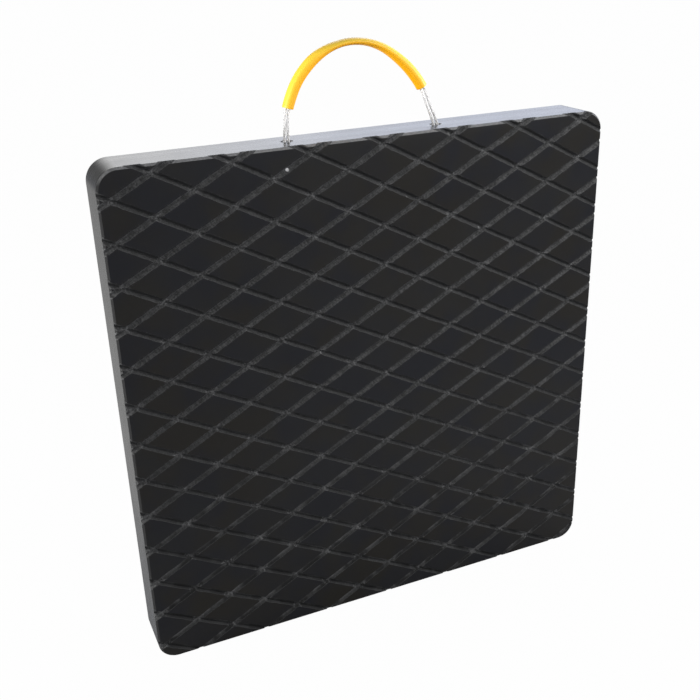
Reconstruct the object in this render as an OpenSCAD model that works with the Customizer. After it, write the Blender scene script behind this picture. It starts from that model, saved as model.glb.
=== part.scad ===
// Crane outrigger pad: a thick plastic plate with diamond grooves and a wire rope carrying handle.
// It stands on its lower edge with the grooved face towards -Y. Millimetres, +Z up,
// origin at the middle of the lower edge.

/* [Plate] */
// Width of the plate
plate_w = 500; // [400:10:700]
// Height of the plate as it stands
plate_h = 500; // [400:10:700]
// Thickness of the plate
plate_t = 50; // [40:1:80]
// Radius of the four corners
corner_r = 20; // [8:1:40]
// Chamfer round both faces
edge_chamfer = 2; // [0.5:0.25:4]

/* [Grooves] */
// Angle of both groove families from the lower edge
groove_angle = 28; // [20:1:45]
// Distance between neighbouring grooves that rise to the right, square to their run
rising_pitch = 33.3; // [24:0.1:60]
// The same for the grooves that fall to the right
falling_pitch = 33.6; // [24:0.1:60]
// Width of a groove at the face
groove_w = 5; // [3.5:0.25:9]
// Width of a groove's flat floor
groove_floor = 1.4; // [0.5:0.1:3]
// Depth of a groove
groove_depth = 3; // [1:0.25:5]
// One groove crossing, to the right of the plate's middle
crossing_x = 8.3; // [-30:0.1:30]
// The same crossing, above the plate's middle
crossing_z = 15.6; // [-30:0.1:30]

/* [Rope holes] */
// Distance between the two rope holes in the upper edge
hole_spacing = 150; // [120:1:200]
// Room between the rope's legs and the wall of a hole
hole_room = 0.15; // [0.1:0.05:1]
// Room below the rope's lowest end
hole_spare = 1; // [0.5:0.5:20]

/* [Anchor pins] */
// Diameter of an anchor pin
pin_d = 5; // [4:0.25:8]
// Depth of the pins below the upper edge
pin_drop = 25; // [20:1:40]
// How far a pin stops short of the grooved face
pin_front_wall = 10; // [6:1:14]
// How far a pin's outer end is sunk below the back face
pin_sunk = 1; // [0:0.25:4]
// Radial room between a pin and its hole
pin_fit = 0.05; // [0.02:0.01:0.1]

/* [Wire rope] */
// Diameter of the rope
rope_d = 2.5; // [1.5:0.1:4]
// Room between the rope and the pin that it bears on
rope_seat = 0.1; // [0.05:0.05:0.2]
// Gap between the rope's two legs at the mouths of the holes
mouth_gap = 1.1; // [0.2:0.1:2]
// Gap between the legs where they draw together above the left hole
drawn_gap = 0.3; // [0.2:0.1:2]
// Gap between the legs inside the hose
hose_gap = 0.9; // [0.2:0.1:2]

/* [Ferrule] */
// Length of the crimped ferrule on the rope's two ends
ferrule_l = 10; // [6:1:16]
// Wall of the ferrule
ferrule_wall = 1.1; // [0.8:0.1:1.4]
// Distance from the pin's axis down to the ferrule
ferrule_drop = 11; // [9:0.5:16]
// Room between the ferrule and the rope's ends
ferrule_fit = 0.05; // [0.02:0.01:0.1]

/* [Grip hose] */
// Rise of the handle's crown above the upper edge
handle_rise = 80.5; // [70:0.5:110]
// Wall of the hose
hose_wall = 1.5; // [1:0.1:2]
// Room between the legs and the hose where it is round
hose_room = 0.8; // [0.4:0.1:1.5]
// Room between the rope and the hose where the bend flattens it
crown_room = 0.45; // [0.3:0.05:0.8]
// How much wider the hose grows for each unit that it is flattened
hose_spread = 0.78; // [0.6:0.02:0.9]

/* [Hidden] */
$fn = 48;
rope_sides = 8;
hose_sides = 20;
// Sections of the rope and of the hose between two points of the arch
rope_steps = 3;
hose_steps = 3;
// Sections of the rope's bight under the left pin
bight_steps = 8;
// Overrun of a cut past the surface that it opens
cut_over = 1;

// The arch of the handle from the mouth of the left hole to that of the right one, as shares
// of half the hole spacing and of the rise. The bent hose leans to the left.
arch_shape = [
    [-1.00, 0.00], [-0.99, 0.18], [-0.962, 0.355], [-0.86, 0.58], [-0.735, 0.74],
    [-0.575, 0.87], [-0.375, 0.96], [-0.15, 1.00], [0.08, 0.98], [0.295, 0.905],
    [0.49, 0.78], [0.66, 0.63], [0.805, 0.443], [0.90, 0.235], [1.00, 0.00]
];
// The hose runs between these two points of the arch
hose_first = 2;
hose_last = 12;
// Stretches of the hose, as shares of its length, over which the rope pair turns and turns back
turn_start = [0.02, 0.24];
turn_end = [0.80, 0.98];
// Stretches over which the bend flattens the hose and lets it go round again
flat_start = [0.24, 0.46];
flat_end = [0.54, 0.95];
// Share of the pin's depth at which the legs begin to spread inside a hole
spread_share = 1 / 3;
// Step along the route for taking its direction, counted in route points
tiny_step = 0.01;

// Distances between the axes of the rope's two legs
legs_at_pin = pin_d + rope_d + 2 * rope_seat;
legs_at_mouth = rope_d + mouth_gap;
legs_drawn = rope_d + drawn_gap;
legs_in_hose = rope_d + hose_gap;
legs_in_ferrule = rope_d + 2 * ferrule_fit;

face_y = -plate_t / 2;
half_spacing = hole_spacing / 2;
pin_z = plate_h - pin_drop;
spread_z = plate_h - pin_drop * spread_share;
pin_l = plate_t - pin_front_wall - pin_sunk;
// The legs run straight past a pin over its own height
pin_pass = pin_d / 2 + rope_seat;
ferrule_z = pin_z - ferrule_drop - ferrule_l;
ferrule_bore = rope_d + 2 * ferrule_fit;
ferrule_d = ferrule_bore + 2 * ferrule_wall;
hole_d = max(legs_at_pin + rope_d, legs_in_ferrule + ferrule_d) + 2 * hole_room;
// The rope's ends stand out of the ferrule a little
rope_end_z = ferrule_z - rope_d / 2;
hole_floor_z = rope_end_z - hole_spare;
hose_bore = legs_in_hose + rope_d + 2 * hose_room;
hose_d = hose_bore + 2 * hose_wall;
// Half the hose's thickness at its flattened crown
crown_half = rope_d / 2 + crown_room + hose_wall;

// A smooth step from 0 to 1 while t goes over a span
function ease(t, span) = let (u = min(max((t - span[0]) / (span[1] - span[0]), 0), 1)) u * u * (3 - 2 * u);

// The middle of the rope pair: down in the left hole, over the arch, down to the ferrule
route = concat(
    [for (z = [pin_z, pin_z + pin_pass, spread_z]) [-half_spacing, z]],
    [for (p = arch_shape) [p[0] * half_spacing, plate_h + p[1] * handle_rise]],
    [for (z = [spread_z, pin_z + pin_pass, pin_z - pin_pass, pin_z - ferrule_drop, rope_end_z])
        [half_spacing, z]]);
route_last = len(route) - 1;
// Place in the route of the arch's first point
arch_start = 3;
arch_end = arch_start + len(arch_shape) - 1;
hose_start = arch_start + hose_first;
hose_end = arch_start + hose_last;

// Distance between the legs' axes along the route, counted in route points
leg_distance = [
    [0, legs_at_pin], [1, legs_at_pin], [arch_start, legs_at_mouth], [arch_start + 1, legs_drawn],
    [hose_start, legs_in_hose], [hose_end, legs_in_hose], [arch_end, legs_at_mouth],
    [arch_end + 2, legs_at_pin], [arch_end + 3, legs_at_pin],
    [arch_end + 4, legs_in_ferrule], [route_last, legs_in_ferrule]
];

// A smooth curve through the route's points at t, counted in points
function on_route(t) =
    let (i = min(floor(t), route_last - 1), u = t - i,
         a = route[max(i - 1, 0)], b = route[i], c = route[i + 1], d = route[min(i + 2, route_last)])
    b + u * (c - a) / 2
      + u * u * (2 * a - 5 * b + 4 * c - d) / 2
      + u * u * u * (3 * b - 3 * c + d - a) / 2;

// The direction of the route at t, and the direction across it, outwards, in the handle's plane
function along(t) =
    let (v = on_route(min(t + tiny_step, route_last)) - on_route(max(t - tiny_step, 0))) v / norm(v);
function across(t) = let (v = along(t)) [-v[1], v[0]];

// The legs lie side by side across the arch at the hose's ends and across its width in the bend
function hose_share(t) = (t - hose_start) / (hose_end - hose_start);
function pair_turn(t) = let (h = hose_share(t)) 90 * ease(h, turn_start) * (1 - ease(h, turn_end));

// A point of one leg, side -1 inside the arch and +1 outside
function leg_point(t, side) =
    let (c = on_route(t), n = across(t), half = side * lookup(t, leg_distance) / 2, turn = pair_turn(t))
    [c[0] + half * cos(turn) * n[0], half * sin(turn), c[1] + half * cos(turn) * n[1]];

// The whole rope: from the ferrule along the inside leg, round the left pin, and back outside
leg_places = [for (i = [0 : rope_steps * route_last]) i / rope_steps];
rope_path = concat(
    [for (i = [len(leg_places) - 1 : -1 : 0]) leg_point(leg_places[i], -1)],
    [for (i = [1 : bight_steps - 1]) let (a = -180 * i / bight_steps)
        [-half_spacing + legs_at_pin / 2 * cos(a), 0, pin_z + legs_at_pin / 2 * sin(a)]],
    [for (t = leg_places) leg_point(t, 1)]);

// A ring of n points round c, square to the direction d, with half-axes in and out of the handle's plane
function ring(c, d, in_half, out_half, n) =
    let (w = d / norm(d), u = cross([0, 1, 0], w) / norm(cross([0, 1, 0], w)), v = cross(w, u))
    [for (k = [0 : n - 1]) c + in_half * cos(360 * k / n) * u + out_half * sin(360 * k / n) * v];

// A skin over rings of n points each: its ends are closed, or it runs on from the last ring to the first
module skin(rings, joined) {
    n = len(rings[0]);
    last = len(rings) - 1;
    walls = [for (i = [0 : joined ? last : last - 1]) for (k = [0 : n - 1])
        let (here = i * n, there = (i + 1) % len(rings) * n, next = (k + 1) % n)
        [here + k, here + next, there + next, there + k]];
    ends = joined ? [] : [[for (k = [n - 1 : -1 : 0]) k], [for (k = [0 : n - 1]) last * n + k]];
    polyhedron(points = [for (r = rings) for (p = r) p], faces = concat(walls, ends), convexity = 6);
}

// A rectangle with its four corners cut off
module chamfered_rectangle(w, h, c) {
    polygon([[-w / 2 + c, -h / 2], [w / 2 - c, -h / 2], [w / 2, -h / 2 + c], [w / 2, h / 2 - c],
             [w / 2 - c, h / 2], [-w / 2 + c, h / 2], [-w / 2, h / 2 - c], [-w / 2, -h / 2 + c]]);
}

// A round disc with both rims chamfered, axis along Y
module corner_disc() {
    rotate([90, 0, 0])
        rotate_extrude()
            intersection() {
                chamfered_rectangle(2 * corner_r, plate_t, edge_chamfer);
                translate([0, -plate_t / 2]) square([corner_r, plate_t]);
            }
}

// The plate before grooving and drilling
module plate_blank() {
    translate([0, 0, plate_h / 2]) {
        rotate([90, 0, 90])
            linear_extrude(height = plate_w - 2 * corner_r, center = true)
                chamfered_rectangle(plate_t, plate_h, edge_chamfer);
        linear_extrude(height = plate_h - 2 * corner_r, center = true)
            chamfered_rectangle(plate_w, plate_t, edge_chamfer);
        for (x = [-1, 1])
            for (z = [-1, 1])
                translate([x * (plate_w / 2 - corner_r), 0, z * (plate_h / 2 - corner_r)]) corner_disc();
    }
}

// One family of parallel grooves in the front face, rising (side 1) or falling (-1) to the right
module groove_family(side, pitch) {
    slope = (groove_w - groove_floor) / 2 / groove_depth;
    mouth = groove_w / 2 + cut_over * slope;
    run = norm([plate_w, plate_h]) + 2 * pitch;
    // Distances from the plate's middle, square to the grooves, of the crossing and of the corners
    middle = -side * crossing_x * sin(groove_angle) + crossing_z * cos(groove_angle);
    reach = plate_w / 2 * sin(groove_angle) + plate_h / 2 * cos(groove_angle);
    count = ceil((reach + abs(middle)) / pitch);
    translate([crossing_x, face_y, plate_h / 2 + crossing_z])
        rotate([0, -side * groove_angle, 0])
            for (i = [-count : count])
                if (abs(middle + i * pitch) < reach)
                    translate([0, 0, i * pitch])
                        rotate([90, 0, 90])
                            linear_extrude(height = run, center = true)
                                polygon([[-cut_over, -mouth], [groove_depth, -groove_floor / 2],
                                         [groove_depth, groove_floor / 2], [-cut_over, mouth]]);
}

// A pin's place: its inner end, axis along +Y to the back face
module at_pin(x) {
    translate([x, face_y + pin_front_wall, pin_z]) rotate([-90, 0, 0]) children();
}

module pad_plate() {
    color([0.13, 0.13, 0.13])
        difference() {
            plate_blank();
            groove_family(1, rising_pitch);
            groove_family(-1, falling_pitch);
            for (x = [-half_spacing, half_spacing]) {
                translate([x, 0, hole_floor_z]) cylinder(d = hole_d, h = plate_h - hole_floor_z + cut_over);
                at_pin(x) cylinder(d = pin_d + 2 * pin_fit, h = plate_t - pin_front_wall + cut_over);
            }
        }
}

module wire_rope() {
    last = len(rope_path) - 1;
    color([0.72, 0.72, 0.70])
        skin([for (i = [0 : last])
            ring(rope_path[i], rope_path[min(i + 1, last)] - rope_path[max(i - 1, 0)],
                 rope_d / 2, rope_d / 2, rope_sides)], false);
}

// Two round ends and the flat between them, the outline of the ferrule or of its bore
module oval(d) {
    for (x = [-1, 1]) translate([x * legs_in_ferrule / 2, 0]) circle(d = d);
    square([legs_in_ferrule, d], center = true);
}

module rope_ferrule() {
    color([0.78, 0.78, 0.80])
        translate([half_spacing, 0, ferrule_z])
            linear_extrude(height = ferrule_l)
                difference() {
                    oval(ferrule_d);
                    oval(ferrule_bore);
                }
}

// Flattening of the hose at t: 0 where it is round, 1 at the crown
function flattening(t) = let (h = hose_share(t)) ease(h, flat_start) * (1 - ease(h, flat_end));

// A ring of the hose's outside, or of its bore when it is one wall smaller
function hose_ring(t, smaller) =
    let (c = on_route(t), d = along(t), flat = flattening(t) * (hose_d / 2 - crown_half))
    ring([c[0], 0, c[1]], [d[0], 0, d[1]], hose_d / 2 - flat - smaller,
         hose_d / 2 + hose_spread * flat - smaller, hose_sides);

module grip_hose() {
    places = [for (i = [0 : hose_steps * (hose_end - hose_start)]) hose_start + i / hose_steps];
    color([1.0, 0.78, 0.08])
        skin(concat([for (t = places) hose_ring(t, 0)],
                    [for (i = [len(places) - 1 : -1 : 0]) hose_ring(places[i], hose_wall)]), true);
}

module anchor_pin(x) {
    color([0.62, 0.62, 0.62]) at_pin(x) cylinder(d = pin_d, h = pin_l);
}

module anchor_pin_left() {
    anchor_pin(-half_spacing);
}

module anchor_pin_right() {
    anchor_pin(half_spacing);
}

pad_plate();
wire_rope();
rope_ferrule();
grip_hose();
anchor_pin_left();
anchor_pin_right();
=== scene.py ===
import math
import random

import bpy
from mathutils import Matrix, Vector


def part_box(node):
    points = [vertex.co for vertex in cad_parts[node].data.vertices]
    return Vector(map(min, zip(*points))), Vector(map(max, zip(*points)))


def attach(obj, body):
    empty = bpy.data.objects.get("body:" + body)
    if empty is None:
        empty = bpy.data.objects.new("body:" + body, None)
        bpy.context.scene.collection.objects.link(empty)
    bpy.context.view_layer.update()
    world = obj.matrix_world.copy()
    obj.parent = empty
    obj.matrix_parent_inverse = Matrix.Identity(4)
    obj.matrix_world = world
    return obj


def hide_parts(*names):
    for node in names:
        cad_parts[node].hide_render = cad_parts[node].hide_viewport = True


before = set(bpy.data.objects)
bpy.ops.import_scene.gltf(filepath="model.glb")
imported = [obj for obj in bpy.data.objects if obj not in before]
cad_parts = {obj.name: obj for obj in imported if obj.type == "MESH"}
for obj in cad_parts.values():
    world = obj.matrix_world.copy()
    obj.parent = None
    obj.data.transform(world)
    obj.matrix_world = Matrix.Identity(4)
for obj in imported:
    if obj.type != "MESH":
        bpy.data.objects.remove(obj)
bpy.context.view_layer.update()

scene = bpy.context.scene
scene.view_settings.view_transform = "Standard"

# Camera: a still camera with a normal lens, held by hand, so it leans a little.
# It stands to the left of the pad, higher than its top edge, and looks down at the grooved face.
camera_place = Vector((-0.3639, -0.8064, 0.6666))
camera_heading = math.radians(23.06)
camera_down = math.radians(23.45)
camera_lean = math.radians(-1.98)
camera = bpy.data.objects.new("camera", bpy.data.cameras.new("camera"))
camera.data.sensor_width = 36.0
camera.data.lens = 49.19
camera.data.clip_start = 0.02
camera.data.clip_end = 200.0
camera.matrix_world = (
    Matrix.Translation(camera_place)
    @ Matrix.Rotation(-camera_heading, 4, "Z")
    @ Matrix.Rotation(math.radians(90) - camera_down, 4, "X")
    @ Matrix.Rotation(camera_lean, 4, "Z")
)
scene.collection.objects.link(camera)
scene.camera = camera

# Plate: one thick slab of black polyethylene, sawn to a square with round corners and chamfered.
# A cutter with sloping sides has milled two families of grooves across the front face, which
# leave diamonds between them. Two holes from the top edge take the rope, two from the back its pins.
plate_low, plate_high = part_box("pad_plate")
half_w = plate_high.x
plate_h = plate_high.z
face_y = plate_low.y
back_y = plate_high.y
corner_r = 0.020
chamfer = 0.002
edge_softness = 0.0005

groove_angle = math.radians(28)
groove_pitch = {1: 0.0333, -1: 0.0336}
groove_w = 0.005
groove_floor = 0.0014
groove_depth = 0.003
crossing = (0.0083, plate_h / 2 + 0.0156)

half_spacing = 0.075
hole_d = 0.0105
hole_floor_z = 0.45175
pin_d = 0.005
pin_fit = 0.00005
pin_z = 0.475
pin_front_wall = 0.010


def solid(name, points, faces):
    """A new mesh object in the shared frame."""
    mesh = bpy.data.meshes.new(name)
    mesh.from_pydata(points, [], faces)
    made = bpy.data.objects.new(name, mesh)
    scene.collection.objects.link(made)
    return made


def skin(rings, joined=False, first=0):
    """Faces over rings of equal length, closed at both ends or joined from the last ring to the first."""
    n, count = len(rings[0]), len(rings)
    faces = []
    for i in range(count if joined else count - 1):
        here, there = first + i * n, first + (i + 1) % count * n
        for k in range(n):
            after = (k + 1) % n
            faces.append((here + k, here + after, there + after, there + k))
    if not joined:
        faces.append([first + k for k in range(n - 1, -1, -1)])
        faces.append([first + (count - 1) * n + k for k in range(n)])
    return faces


def plate_outline(inset, arc_steps=20):
    """The plate's outline seen from the front, as X and Z, moved inwards."""
    points = []
    for quarter, (side_x, side_z) in enumerate(((1, 1), (-1, 1), (-1, -1), (1, -1))):
        middle_x = side_x * (half_w - corner_r)
        middle_z = plate_h / 2 + side_z * (plate_h / 2 - corner_r)
        for i in range(arc_steps + 1):
            turn = math.radians(90) * (quarter + i / arc_steps)
            points.append((middle_x + (corner_r - inset) * math.cos(turn),
                           middle_z + (corner_r - inset) * math.sin(turn)))
    return points


# Distance in from the outline and distance from the face, over one chamfered and softened edge
edge_profile = (
    (chamfer + 0.4 * edge_softness, 0.0),
    (chamfer - 0.3 * edge_softness, 0.3 * edge_softness),
    (0.3 * edge_softness, chamfer - 0.3 * edge_softness),
    (0.0, chamfer + 0.4 * edge_softness),
)
blank_rings = []
for inset, depth in edge_profile:
    blank_rings.append([(x, back_y - depth, z) for x, z in plate_outline(inset)])
for inset, depth in reversed(edge_profile):
    blank_rings.append([(x, face_y + depth, z) for x, z in plate_outline(inset)])
plate = solid("pad_plate_grooved", [p for ring in blank_rings for p in ring], skin(blank_rings))

# Half of the cutter's profile: distance out from the lip and depth, over the softened lip
groove_lip = ((0.00080, -0.00060), (0.00034, -0.00002), (0.00008, 0.00008), (-0.00014, 0.00032))
# Then the same for the foot of the wall, counted from the edge of the floor and up from the floor
groove_foot = ((0.00016, 0.00018), (-0.00022, 0.0))
groove_step = 0.003
cutter_overrun = 0.012
shortest_groove = 0.004
# The lips wander by chance from step to step, and some steps are torn wider
lip_memory = 0.55
lip_wander = 0.00014
torn_share = 0.08
tear_least, tear_most = 0.00010, 0.00050


def cutter_run(side, offset):
    """Where a groove's middle line enters and leaves the plate, as distances along it from the crossing."""
    run_x, run_z = math.cos(groove_angle), side * math.sin(groove_angle)
    foot_x = crossing[0] - offset * side * math.sin(groove_angle)
    foot_z = crossing[1] + offset * math.cos(groove_angle)
    ends = sorted(((-half_w - foot_x) / run_x, (half_w - foot_x) / run_x))
    rises = sorted(((0 - foot_z) / run_z, (plate_h - foot_z) / run_z))
    return foot_x, foot_z, run_x, run_z, max(ends[0], rises[0]), min(ends[1], rises[1])


def groove_cutters(side, chance):
    """All grooves of one family as one cutting mesh, with lips that wander and are torn here and there."""
    points, faces = [], []
    reach = int((plate_h + 2 * half_w) / groove_pitch[side])
    for line in range(-reach, reach + 1):
        foot_x, foot_z, run_x, run_z, start, end = cutter_run(side, line * groove_pitch[side])
        if end - start < shortest_groove:
            continue
        start, end = start - cutter_overrun, end + cutter_overrun
        steps = max(2, round((end - start) / groove_step))
        wander = [0.0, 0.0]
        rings = []
        for i in range(steps + 1):
            s = start + (end - start) * i / steps
            ring = []
            for lip, sign in enumerate((1, -1)):
                wander[lip] = lip_memory * wander[lip] + chance.gauss(0, lip_wander)
                tear = chance.uniform(tear_least, tear_most) if chance.random() < torn_share else 0.0
                mouth = groove_w / 2 + wander[lip] + tear
                half = [(mouth + out, depth) for out, depth in groove_lip]
                half += [(groove_floor / 2 + out, groove_depth - up) for out, up in groove_foot]
                ring += [(sign * across, depth) for across, depth in half[::sign]]
            rings.append([(foot_x + s * run_x - a * side * math.sin(groove_angle), face_y + depth,
                           foot_z + s * run_z + a * math.cos(groove_angle)) for a, depth in reversed(ring)])
        faces += skin(rings, first=len(points))
        points += [p for ring in rings for p in ring]
    return solid("cutter", points, faces)


def drill(middle, along, profile, sides=48):
    """A turned cutter from middle along Y or Z; profile gives distances along it and radii."""
    rings = []
    for distance, radius in profile:
        ring = []
        for k in range(sides):
            turn = 2 * math.pi * k / sides
            a, b = radius * math.cos(turn), radius * math.sin(turn)
            ring.append((middle[0] + a, middle[1] + b, middle[2] + distance) if along == "Z"
                        else (middle[0] + b, middle[1] + distance, middle[2] + a))
        rings.append(ring)
    return solid("cutter", [p for ring in rings for p in ring], skin(rings))


groove_chance = random.Random(28)
cutters = [groove_cutters(1, groove_chance), groove_cutters(-1, groove_chance)]
hole_mouth = 0.0008
pin_mouth = 0.0003
cut_over = 0.002
hole_r = hole_d / 2
pin_hole_r = pin_d / 2 + pin_fit
for x in (-half_spacing, half_spacing):
    cutters.append(drill((x, 0, 0), "Z", (
        (hole_floor_z, hole_r), (plate_h - hole_mouth, hole_r),
        (plate_h, hole_r + hole_mouth), (plate_h + cut_over, hole_r + hole_mouth + cut_over))))
    cutters.append(drill((x, 0, pin_z), "Y", (
        (face_y + pin_front_wall, pin_hole_r), (back_y - pin_mouth, pin_hole_r),
        (back_y, pin_hole_r + pin_mouth), (back_y + cut_over, pin_hole_r + pin_mouth + cut_over))))
for cutter in cutters:
    cut = plate.modifiers.new("cut", "BOOLEAN")
    cut.operation = "DIFFERENCE"
    cut.solver = "MANIFOLD"
    cut.object = cutter
    milled = bpy.data.meshes.new_from_object(plate.evaluated_get(bpy.context.evaluated_depsgraph_get()))
    plate.modifiers.clear()
    plate.data = milled
    bpy.data.objects.remove(cutter)
plate.data.shade_smooth()
plate.data.set_sharp_from_angle(angle=math.radians(30))
even = plate.modifiers.new("even_faces", "WEIGHTED_NORMAL")
even.keep_sharp = True


class Shade:
    """A socket in a material, so that sums on it add Math nodes."""

    def __init__(self, nodes, socket=None):
        self.nodes, self.socket = nodes, socket

    def node(self, kind, settings=None, sockets=None, out=0):
        """Adds a node: its settings first, then the values or links of its sockets."""
        made = self.nodes.new("ShaderNode" + kind)
        for name, value in (settings or {}).items():
            setattr(made, name, value)
        for name, value in (sockets or {}).items():
            if isinstance(value, Shade):
                self.nodes.id_data.links.new(value.socket, made.inputs[name])
            else:
                made.inputs[name].default_value = value
        return Shade(self.nodes, made.outputs[out] if made.outputs else None)

    def sum(self, operation, *values):
        """One Math node on these values."""
        return self.node("Math", {"operation": operation}, dict(enumerate(values)))

    def __add__(self, other):
        return self.sum("ADD", self, other)

    def __sub__(self, other):
        return self.sum("SUBTRACT", self, other)

    def __rsub__(self, other):
        return self.sum("SUBTRACT", other, self)

    def __mul__(self, other):
        return self.sum("MULTIPLY", self, other)

    def __truediv__(self, other):
        return self.sum("DIVIDE", self, other)

    def __abs__(self):
        return self.sum("ABSOLUTE", self)

    __radd__ = __add__
    __rmul__ = __mul__

    def rise(self, low, high):
        """0 up to low, 1 from high on, and smooth between them; it falls where low is above high."""
        return self.node("MapRange", {"interpolation_type": "SMOOTHSTEP"},
                         {"Value": self, "From Min": low, "From Max": high})

    def mix(self, first, second):
        """A colour: first where this is 0 and second where it is 1."""
        return self.node("Mix", {"data_type": "RGBA"}, {0: self, 6: first, 7: second}, out=2)

    def part(self, axis):
        """One coordinate of a vector."""
        return self.node("SeparateXYZ", None, {0: self}, out=axis)

    def blotches(self, size, detail=2.0):
        """Noise about 0.5 with spots of a size in metres, one for each axis or the same for all."""
        sizes = size if isinstance(size, tuple) else (size, size, size)
        place = self.node("VectorMath", {"operation": "DIVIDE"}, {0: self, 1: sizes})
        return self.node("TexNoise", None, {"Vector": place, "Scale": 1.0, "Detail": detail})

    def bump(self, height):
        """The surface's direction, roughened by this in shares of a height in metres."""
        return self.node("Bump", None, {"Height": self, "Distance": height, "Strength": 1.0})


def grey(value, warm=0.0):
    """A grey of a paleness, leaning to warm or, below 0, to cool."""
    return (value * (1 + warm), value, value * (1 - warm), 1.0)


def new_finish(name):
    """A new material, and the place on the piece in the shared frame that its nodes start from."""
    material = bpy.data.materials.new(name)
    material.use_nodes = True
    material.node_tree.nodes.clear()
    return material, Shade(material.node_tree.nodes).node("TexCoord", out="Object")


def close_finish(spot, sockets):
    """Ends a material in one shader with these sockets."""
    shader = spot.node("BsdfPrincipled", None, sockets)
    spot.node("OutputMaterial", None, {"Surface": shader})


pad_plastic, spot = new_finish("pad_plastic")
across_x, deep, up = spot.part("X"), spot.part("Y") - face_y, spot.part("Z")
outwards = spot.node("NewGeometry", out="Normal")
facing, upwards = abs(outwards.part("Y")), outwards.part("Z")


def off_middle(side):
    """The distance on the face to the nearest middle line of one groove family."""
    rows = ((up - crossing[1]) * math.cos(groove_angle)
            - (across_x - crossing[0]) * (side * math.sin(groove_angle))) / groove_pitch[side]
    return abs(rows.sum("FRACT", rows + 0.5) - 0.5) * groove_pitch[side]


# Where the surface is: in a groove, on a sawn edge or its chamfer, or low down, where the grooves are
# painted fainter, painted shade for the dimmer light there
off_rising, off_falling = off_middle(1), off_middle(-1)
off_line = spot.sum("MINIMUM", off_rising, off_falling)
near_crossing = off_rising.rise(0.0070, 0.0030) * off_falling.rise(0.0070, 0.0030)
in_groove = deep.rise(0.00003, 0.0003) * deep.rise(0.0046, 0.0040) * off_line.rise(0.0036, 0.0031)
in_rising = off_rising.rise(0.0034, 0.0026)
near_front = deep.rise(0.006, 0.004)
top_rim = up.rise(plate_h - 1.25 * chamfer, plate_h - chamfer)
on_edge = spot.sum("MAXIMUM", facing.rise(0.88, 0.72), top_rim) * (1 - in_groove)
on_chamfer = facing.rise(0.3, 0.6)
# Painted shade: the grooves are painted fainter towards the bottom, for the dimmer light there
low_light_fade = up.rise(0.34, 0.04)

# The marks on it: moulded grain, planing along the edges, and the cutter's fuzz in the grooves
fine_grain = spot.blotches(0.0011, 3.0)
clouds = spot.blotches(0.06, 3.0)
tint = spot.blotches(0.045)
planing = spot.blotches((0.12, 0.0007, 0.12), 3.0)
streaks = spot.blotches((0.30, 0.006, 0.30))
fuzz = spot.blotches(0.0016, 3.0)
tufts = spot.blotches(0.005)
fade_patches = spot.blotches(0.015)
along = across_x * math.cos(groove_angle) + up * math.sin(groove_angle)
along_groove = spot.node("CombineXYZ", None, {0: along, 1: off_rising, 2: deep})
hair = along_groove.blotches((0.0015, 0.004, 0.004), 3.0)

# The face: black, mottled warm and cool, with loose hairs beside the grooves
face_colour = tint.rise(0.35, 0.65).mix((0.0145, 0.0119, 0.0077, 1.0), (0.0084, 0.0087, 0.0128, 1.0))
face_colour = (clouds.rise(0.35, 0.75) * 0.5).mix(face_colour, grey(0.016))
face_colour = (fine_grain.rise(0.55, 0.75) * 0.35).mix(face_colour, grey(0.022))
hairs = off_rising.rise(0.0050, 0.0026) * hair.rise(0.50, 0.62)
hairs = hairs + off_falling.rise(0.0040, 0.0026) * fuzz.rise(0.5, 0.7)
face_colour = (hairs * near_front * (1 - 0.85 * low_light_fade)).mix(face_colour, grey(0.040))

# The grooves that rise to the right: furred with pale threads, and painted paler than the falling ones as
# painted light, since less light falls in them; painted shade darkens their lips and floors
torn = (0.5 * hair + 0.5 * fuzz).rise(0.35, 0.65)
rising_dark = low_light_fade.mix(grey(0.053), grey(0.075))
rising_pale = low_light_fade.mix(grey(0.175), grey(0.230))
rising_colour = (torn + low_light_fade * 0.7 * (0.5 - torn)).mix(rising_dark, rising_pale)
# Painted shade: darker near the lips, and on the floor that faces out except low down
groove_painted_shade = deep.rise(0.0009, 0.0) * (0.5 + 0.3 * low_light_fade) + facing.rise(0.75, 0.97) * 0.5 * (1 - low_light_fade)
rising_colour = groove_painted_shade.mix(rising_colour, grey(0.02))

# The grooves that fall to the right: less furred. Their side that faces down is painted plain grey as
# painted shade, paler low down, and they are painted darker towards the lower left
falling_colour = fuzz.rise(0.2, 0.8).mix(grey(0.040), grey(0.100))
falling_colour = upwards.rise(0.15, -0.35).mix(falling_colour, low_light_fade.mix(grey(0.042), grey(0.160)))
falling_colour = (low_light_fade * across_x.rise(0.15, -0.2) * 0.55).mix(falling_colour, grey(0.026))

# Both families together, with darker blotches along them, painted fainter in patches low down and, in the
# rising ones, darker away from their middle lines low down: painted shade. Clumps of swarf where they cross
milled_colour = in_rising.mix(falling_colour, rising_colour)
faded = tufts.rise(0.6, 0.35) * 0.35 * (1 - low_light_fade) + low_light_fade * fade_patches.rise(0.36, 0.58) * 0.85
milled_colour = faded.mix(milled_colour, grey(0.024))
narrowed = low_light_fade * in_rising * off_line.rise(0.0002, 0.0020) * 0.55
milled_colour = narrowed.mix(milled_colour, grey(0.010))
colour = in_groove.mix(face_colour, milled_colour)
clumps = near_crossing * in_groove * (tufts + fuzz).rise(1.0, 1.3)
colour = clumps.mix(colour, grey(0.18))

# The sawn edges with their planing marks, and the chamfers, painted pale and furred where they face up: a
# painted highlight for the light that falls on the top chamfer
edge_colour = (planing + streaks).rise(0.7, 1.3).mix(grey(0.010), grey(0.034))
lit_chamfer_fuzz = fuzz.rise(0.3, 0.7).mix(grey(0.20), grey(0.31))
chamfer_colour = upwards.rise(0.2, 0.6).mix(grey(0.014), lit_chamfer_fuzz)
colour = on_edge.mix(colour, on_chamfer.mix(edge_colour, chamfer_colour))

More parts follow.
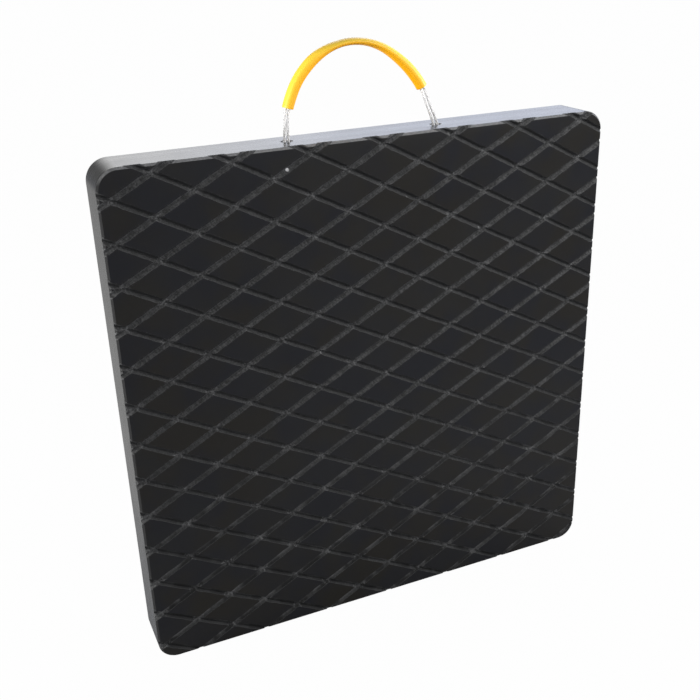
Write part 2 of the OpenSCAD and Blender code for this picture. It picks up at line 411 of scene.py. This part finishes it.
# The walls of the rope holes, painted pale and mottled: painted light that lifts the shade inside them
off_axis_x, off_axis_y = abs(across_x) - half_spacing, deep + face_y
off_axis = off_axis_x * off_axis_x + off_axis_y * off_axis_y
lit_hole_walls = off_axis.rise((0.58 * hole_d) ** 2, (0.53 * hole_d) ** 2) * up.rise(0.45, 0.46)
colour = lit_hole_walls.mix(colour, fuzz.rise(0.3, 0.7).mix(grey(0.50), grey(0.66)))

# Flecks of swarf that cling to the face: place across and up, radius and paleness
specks = (
    (-0.084, 0.480, 0.0018, 0.95), (0.040, 0.397, 0.0009, 0.30), (0.111, 0.400, 0.0009, 0.30),
    (0.032, 0.441, 0.0008, 0.25), (-0.061, 0.301, 0.0010, 0.30),
)
for speck_x, speck_z, speck_r, paleness in specks:
    off_x, off_z = across_x - speck_x, up - speck_z
    speck = (off_x * off_x + off_z * off_z).rise(speck_r ** 2, 0.3 * speck_r ** 2) * deep.rise(0.004, 0.003)
    colour = speck.mix(colour, grey(paleness))

roughness = 0.36 + 0.1 * clouds + (1 - on_edge) * 0.10 * fine_grain + 0.3 * in_groove
roughness = roughness + on_edge * (0.08 * planing + 0.14 * streaks + 0.5 * on_chamfer - 0.25)
relief = (1 - on_edge) * 0.25 * fine_grain + in_groove * fuzz * 1.6 + on_edge * planing * 0.12
close_finish(spot, {
    "Base Color": colour, "Roughness": roughness, "Normal": relief.bump(0.00025), "IOR": 1.5,
})
plate.data.materials.clear()
plate.data.materials.append(pad_plastic)
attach(plate, "root")
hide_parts("pad_plate")

# Anchor pins: two ground steel dowels pressed in from the back, one across each rope hole.
# The rope's bight hangs on the left one and its crimped end under the right one.
pin_steel, spot = new_finish("pin_steel")
turning = spot.blotches((0.004, 0.00025, 0.004))
stain = spot.blotches(0.0022, 3.0)
colour = stain.rise(0.45, 0.75).mix(grey(0.55), (0.34, 0.30, 0.26, 1.0))
close_finish(spot, {
    "Base Color": turning.rise(0.3, 0.7).mix(colour, grey(0.62)), "Metallic": 1.0,
    "Roughness": 0.28 + 0.25 * stain, "Normal": (turning + stain).bump(0.00003),
})
for name in ("anchor_pin_left", "anchor_pin_right"):
    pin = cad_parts[name]
    pin.data.materials.clear()
    pin.data.materials.append(pin_steel)

# Wire rope: galvanised, six strands laid round a core. It is doubled: from the ferrule over the
# arch, round the left pin and back over the arch to the ferrule, one leg inside the other.
pin_drop = plate_h - pin_z
handle_rise = 0.0805
rope_d = 0.0025
rope_seat = 0.0001
legs_at_pin = pin_d + rope_d + 2 * rope_seat
legs_at_mouth = rope_d + 0.0011
legs_drawn = rope_d + 0.0003
legs_in_hose = rope_d + 0.0009
legs_in_ferrule = rope_d + 0.0001
pin_pass = pin_d / 2 + rope_seat
spread_z = plate_h - pin_drop / 3
ferrule_drop = 0.011
rope_end_z = 0.45275
# The arch from the mouth of the left hole to that of the right one, as shares of half the hole
# spacing and of the rise
arch_shape = (
    (-1.00, 0.00), (-0.99, 0.18), (-0.962, 0.355), (-0.86, 0.58), (-0.735, 0.74),
    (-0.575, 0.87), (-0.375, 0.96), (-0.15, 1.00), (0.08, 0.98), (0.295, 0.905),
    (0.49, 0.78), (0.66, 0.63), (0.805, 0.443), (0.90, 0.235), (1.00, 0.00),
)
turn_start, turn_end = (0.02, 0.24), (0.80, 0.98)
route = [Vector((-half_spacing, z)) for z in (pin_z, pin_z + pin_pass, spread_z)]
route += [Vector((x * half_spacing, plate_h + z * handle_rise)) for x, z in arch_shape]
route += [Vector((half_spacing, z)) for z in (
    spread_z, pin_z + pin_pass, pin_z - pin_pass, pin_z - ferrule_drop, rope_end_z)]
route_last = len(route) - 1
arch_start, arch_end = 3, 3 + len(arch_shape) - 1
hose_start, hose_end = arch_start + 2, arch_start + 12
leg_distance = (
    (0, legs_at_pin), (1, legs_at_pin), (arch_start, legs_at_mouth), (arch_start + 1, legs_drawn),
    (hose_start, legs_in_hose), (hose_end, legs_in_hose), (arch_end, legs_at_mouth),
    (arch_end + 2, legs_at_pin), (arch_end + 3, legs_at_pin),
    (arch_end + 4, legs_in_ferrule), (route_last, legs_in_ferrule),
)


def ease(t, span):
    """0 before a span and 1 after it, with a smooth rise between."""
    u = min(max((t - span[0]) / (span[1] - span[0]), 0), 1)
    return u * u * (3 - 2 * u)


def on_route(t):
    """A smooth curve through the route's points at t, counted in points."""
    i = min(int(t), route_last - 1)
    u = t - i
    a, b, c, d = (route[min(max(i + k, 0), route_last)] for k in (-1, 0, 1, 2))
    return (b + u * (c - a) / 2 + u * u * (2 * a - 5 * b + 4 * c - d) / 2
            + u * u * u * (3 * b - 3 * c + d - a) / 2)


def along_route(t):
    """The route's direction at t."""
    return (on_route(min(t + 0.01, route_last)) - on_route(max(t - 0.01, 0))).normalized()


def apart(t):
    """The distance between the axes of the two legs at t."""
    for (low, first), (high, last) in zip(leg_distance, leg_distance[1:]):
        if t <= high:
            return first + (last - first) * (t - low) / (high - low)
    return leg_distance[-1][1]


def hose_share(t):
    """How far along the hose t is, from 0 to 1."""
    return (t - hose_start) / (hose_end - hose_start)


def leg_point(t, side):
    """A point of one leg, side -1 inside the arch and 1 outside; in the hose's bend they lie abreast."""
    middle, way = on_route(t), along_route(t)
    turn = math.radians(90) * ease(hose_share(t), turn_start) * (1 - ease(hose_share(t), turn_end))
    half = side * apart(t) / 2
    return Vector((middle.x - half * math.cos(turn) * way.y, half * math.sin(turn),
                   middle.y + half * math.cos(turn) * way.x))


leg_steps = 20
bight_steps = 16
leg_places = [i / leg_steps for i in range(leg_steps * route_last + 1)]
bight = [Vector((-half_spacing + legs_at_pin / 2 * math.cos(a), 0, pin_z + legs_at_pin / 2 * math.sin(a)))
         for a in (-math.pi * i / bight_steps for i in range(1, bight_steps))]
rope_axis = [leg_point(t, -1) for t in reversed(leg_places)] + bight + [leg_point(t, 1) for t in leg_places]


def even_steps(path, step):
    """The same path as points about one step apart."""
    lengths = [(b - a).length for a, b in zip(path, path[1:])]
    whole = sum(lengths)
    count = max(2, round(whole / step))
    points, i, gone = [path[0]], 0, 0.0
    for k in range(1, count):
        goal = whole * k / count
        while gone + lengths[i] < goal:
            gone += lengths[i]
            i += 1
        points.append(path[i].lerp(path[i + 1], (goal - gone) / lengths[i]))
    return points + [path[-1]]


rope_lay = 0.016
wire_lay = 0.006
rope_step = 0.001
strand_count = 6
strand_r = rope_d / 6
strand_sides = 8
rope_line = even_steps(rope_axis, rope_step)
rope_ways = [(rope_line[min(i + 1, len(rope_line) - 1)] - rope_line[max(i - 1, 0)]).normalized()
             for i in range(len(rope_line))]
rope_out = Vector((0, 1, 0))
rope_outs = []
for way in rope_ways:
    rope_out = (rope_out - way * rope_out.dot(way)).normalized()
    rope_outs.append(rope_out)
# The strands, and last the core, which runs straight along the middle
rope_points, rope_faces, rope_corners = [], [], []
for strand in range(strand_count + 1):
    reach = 0.0 if strand == strand_count else 2 * strand_r
    middles = []
    for i, (place, way, out) in enumerate(zip(rope_line, rope_ways, rope_outs)):
        turn = 2 * math.pi * (strand / strand_count + i * rope_step / rope_lay)
        middles.append(place + reach * (out * math.cos(turn) + way.cross(out) * math.sin(turn)))
    first = len(rope_points)
    for i, (middle, out) in enumerate(zip(middles, rope_outs)):
        way = (middles[min(i + 1, len(middles) - 1)] - middles[max(i - 1, 0)]).normalized()
        one = (out - way * out.dot(way)).normalized()
        other = way.cross(one)
        rope_points += [middle + strand_r * (one * math.cos(a) + other * math.sin(a))
                        for a in (2 * math.pi * k / strand_sides for k in range(strand_sides))]
    for i in range(len(middles) - 1):
        here, there = first + i * strand_sides, first + (i + 1) * strand_sides
        for k in range(strand_sides):
            after = (k + 1) % strand_sides
            rope_faces.append((here + k, here + after, there + after, there + k))
            rope_corners += [(k, i), (k + 1, i), (k + 1, i + 1), (k, i + 1)]
    last = first + (len(middles) - 1) * strand_sides
    rope_faces.append([first + k for k in reversed(range(strand_sides))])
    rope_faces.append([last + k for k in range(strand_sides)])
    rope_corners += [(0, 0)] * (2 * strand_sides)
rope = solid("wire_rope_strands", rope_points, rope_faces)
lay_map = rope.data.uv_layers.new(name="lay")
for corner, (k, i) in zip(lay_map.data, rope_corners):
    corner.uv = (k / strand_sides, i * rope_step / wire_lay)
rope.data.shade_smooth()

rope_steel, spot = new_finish("rope_steel")
strand_wires = 6
lay_place = spot.node("UVMap", {"uv_map": "lay"})
wire_turns = (lay_place.part("X") + lay_place.part("Y")) * strand_wires
wires = 0.5 + 0.5 * spot.sum("SINE", wire_turns * (2 * math.pi))
dull = spot.blotches(0.003, 3.0)
colour = dull.rise(0.35, 0.75).mix(grey(0.87, 0.005), grey(0.74, 0.015))
# Painted shade: the colour is a little darker in the grooves between the wires
close_finish(spot, {
    "Base Color": wires.rise(0.35, 0.0).mix(colour, grey(0.70, 0.03)), "Metallic": 0.15,
    "Roughness": 0.45 + 0.25 * dull, "Normal": wires.bump(0.00002),
})
rope.data.materials.append(rope_steel)
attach(rope, "root")
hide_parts("wire_rope")

# Ferrule: an oval aluminium sleeve, pressed on the rope's two ends below the right pin.
# It is too wide to pass the pin, so it holds the rope, and the hole hides it.
ferrule_aluminium, spot = new_finish("ferrule_aluminium")
press_marks = spot.blotches((0.004, 0.004, 0.0006))
scale = spot.blotches(0.0012, 3.0)
close_finish(spot, {
    "Base Color": scale.rise(0.3, 0.75).mix(grey(0.74, -0.01), grey(0.52)), "Metallic": 1.0,
    "Roughness": 0.38 + 0.2 * scale, "Normal": (press_marks + 0.5 * scale).bump(0.00005),
})
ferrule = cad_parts["rope_ferrule"]
ferrule.data.materials.clear()
ferrule.data.materials.append(ferrule_aluminium)

# Grip hose: a length of soft yellow hose, threaded on the doubled rope before it is fixed.
# The bend has pressed it flat at the crown, and its ends are cut square.
flat_start, flat_end = (0.24, 0.46), (0.54, 0.95)
hose_wall = 0.0015
hose_play = 0.0008
crown_play = 0.00045
hose_d = legs_in_hose + rope_d + 2 * hose_play + 2 * hose_wall
crown_half = rope_d / 2 + crown_play + hose_wall
# The solid's flat facets lie this far inside its round section
facet_sag = 0.00007
hose_spread = 0.78
hose_sides = 48
hose_rim = 0.0003


def hose_ring(t, smaller, push=0.0):
    """A ring of the hose's outside, or of a skin that lies smaller inside it, pushed along the route."""
    middle, way = on_route(t), along_route(t)
    flat = ease(hose_share(t), flat_start) * (1 - ease(hose_share(t), flat_end)) * (hose_d / 2 - crown_half)
    in_half = hose_d / 2 - flat - facet_sag - smaller
    out_half = hose_d / 2 + hose_spread * flat - facet_sag - smaller
    ring = []
    for k in range(hose_sides):
        turn = 2 * math.pi * k / hose_sides
        across = in_half * math.cos(turn)
        ring.append((middle.x + across * way.y + push * way.x, out_half * math.sin(turn),
                     middle.y - across * way.x + push * way.y))
    return ring


# Along the outside from the left end to the right one, over its rim, and back along the bore
hose_steps = 12
hose_places = [hose_start + i / hose_steps for i in range(1, hose_steps * (hose_end - hose_start))]
hose_rings = [hose_ring(hose_start, hose_rim), hose_ring(hose_start, 0, hose_rim)]
hose_rings += [hose_ring(t, 0) for t in hose_places]
hose_rings += [hose_ring(hose_end, 0, -hose_rim), hose_ring(hose_end, hose_rim)]
hose_rings += [hose_ring(hose_end, hose_wall - hose_rim), hose_ring(hose_end, hose_wall, -hose_rim)]
hose_rings += [hose_ring(t, hose_wall) for t in reversed(hose_places)]
hose_rings += [hose_ring(hose_start, hose_wall, hose_rim), hose_ring(hose_start, hose_wall - hose_rim)]
hose = solid("grip_hose_bent", [p for ring in hose_rings for p in ring], skin(hose_rings, joined=True))
hose.data.shade_smooth()
hose.data.set_sharp_from_angle(angle=math.radians(50))

hose_yellow, spot = new_finish("hose_yellow")
drawn_lines = spot.blotches((0.03, 0.0009, 0.03))
handling = spot.blotches(0.012, 4.0)
# Painted light and shade: the outside of the bend is painted paler yellow as a painted highlight, and its
# inside deeper orange as painted shade
bend_middle_z = plate_h + 0.35 * handle_rise
outwards = spot.node("NewGeometry", out="Normal")
painted_bend_light = outwards.part("X") * spot.part("X") + outwards.part("Z") * (spot.part("Z") - bend_middle_z)
colour = painted_bend_light.rise(-0.04, 0.05).mix((0.94, 0.41, 0.002, 1.0), (0.96, 0.66, 0.060, 1.0))
colour = (drawn_lines.rise(0.3, 0.7) * 0.3).mix(colour, (0.95, 0.50, 0.005, 1.0))
colour = (handling.rise(0.55, 0.8) * 0.3).mix(colour, (0.89, 0.43, 0.005, 1.0))
close_finish(spot, {
    "Base Color": colour, "Roughness": 0.32 + 0.18 * handling,
    "Normal": drawn_lines.bump(0.00001), "IOR": 1.45,
})
hose.data.materials.append(hose_yellow)
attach(hose, "root")
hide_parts("grip_hose")

# Floor: a wide, plain, pale paper sheet that the pad stands on.
# The camera sees it white, and the pad's left edge mirrors a part of that from behind the pad.
floor_half = 40
floor = solid("floor", [(-floor_half, -floor_half, 0), (floor_half, -floor_half, 0),
                        (floor_half, floor_half, 0), (-floor_half, floor_half, 0)], [(0, 1, 2, 3)])
floor_white, spot = new_finish("floor_white")
paper = spot.blotches(0.4)
seen = spot.node("LightPath", out="Is Camera Ray") + spot.node("LightPath", out="Is Transmission Ray")
mirrored = spot.node("LightPath", out="Is Glossy Ray")
behind = spot.part("Y").rise(-0.1, 0.5) * spot.part("Y").rise(4.5, 1.5)
dull_floor = spot.node("BsdfPrincipled", None, {
    "Base Color": paper.mix(grey(0.51), grey(0.54)), "Roughness": 0.9, "Specular IOR Level": 0.1})
bright_floor = spot.node("Emission", None, {
    "Color": seen.mix((1.0, 0.985, 0.94, 1.0), grey(1.0)), "Strength": 1.0})
shown = spot.node("MixShader", None, {
    0: 0.985 * seen + 0.35 * mirrored * behind, 1: dull_floor, 2: bright_floor})
spot.node("OutputMaterial", None, {"Surface": shown})
floor.data.materials.append(floor_white)

# Light: a white hall, brightest low behind the pad on the right, with a soft lamp in front on the
# right, a low one on the left, and two narrow ones level with the handle, one on each side.
world = bpy.data.worlds.new("hall")
scene.world = world
world.use_nodes = True
world.node_tree.nodes.clear()
way = Shade(world.node_tree.nodes).node("TexCoord", out="Generated")
way_x, way_y, way_z = way.part("X"), way.part("Y"), way.part("Z")
seen = way.node("LightPath", out="Is Camera Ray") + way.node("LightPath", out="Is Transmission Ray")
mirrored = way.node("LightPath", out="Is Glossy Ray")
hall_level = 0.32
window_level = 2.02
hall = hall_level - 0.18 * way_y.rise(0.0, 0.8) - 0.14 * way_z.rise(0.5, 0.9)
towards_window = 0.65 * way_x + 0.72 * way_y + 0.25 * way_z
low_sky = way_z.rise(0.02, 0.18) * way_z.rise(1.0, 0.5)
hall = hall + window_level * towards_window.rise(0.62, 0.88) * low_sky
hall = hall + 0.1 * mirrored * way_y.rise(0.2, 0.7)
window_colour = way_x.rise(0.1, 0.5).mix(grey(1.0), (0.89, 0.94, 1.09, 1.0))
lit = way.node("Background", None, {
    "Color": seen.mix(window_colour, grey(1.0)), "Strength": seen.sum("MAXIMUM", seen, hall)})
way.node("OutputWorld", None, {"Surface": lit})


def hang_lamp(name, kind, place, aim, watts):
    """A new lamp at a place, turned towards a point; gives its settings."""
    lamp = bpy.data.objects.new(name, bpy.data.lights.new(name, kind))
    lamp.data.energy = watts
    lamp.location = place
    lamp.rotation_euler = (Vector(aim) - Vector(place)).to_track_quat("-Z", "Y").to_euler()
    scene.collection.objects.link(lamp)
    return lamp.data


for name, place, aim, size, watts in (
        ("key_lamp", (0.55, -0.68, 0.95), (0, 0, 0.35), 0.35, 4.5),
        ("left_lamp", (-1.3, 0.2, 0.24), (0, 0, 0.24), 0.48, 12)):
    soft_lamp = hang_lamp(name, "AREA", place, aim, watts)
    soft_lamp.shape = "SQUARE"
    soft_lamp.size = size

handle_z = 0.543
handle_beam = math.radians(3.85)
for name, lamp_x, lamp_y, watts in (
        ("left_handle_lamp", -1.35, -0.38, 80),
        ("right_handle_lamp", 1.35, -0.34, 76)):
    handle_lamp = hang_lamp(name, "SPOT", (lamp_x, lamp_y, handle_z), (-0.005, 0, handle_z), watts)
    handle_lamp.spot_size = handle_beam
    handle_lamp.spot_blend = 0.40
    handle_lamp.shadow_soft_size = 0.015
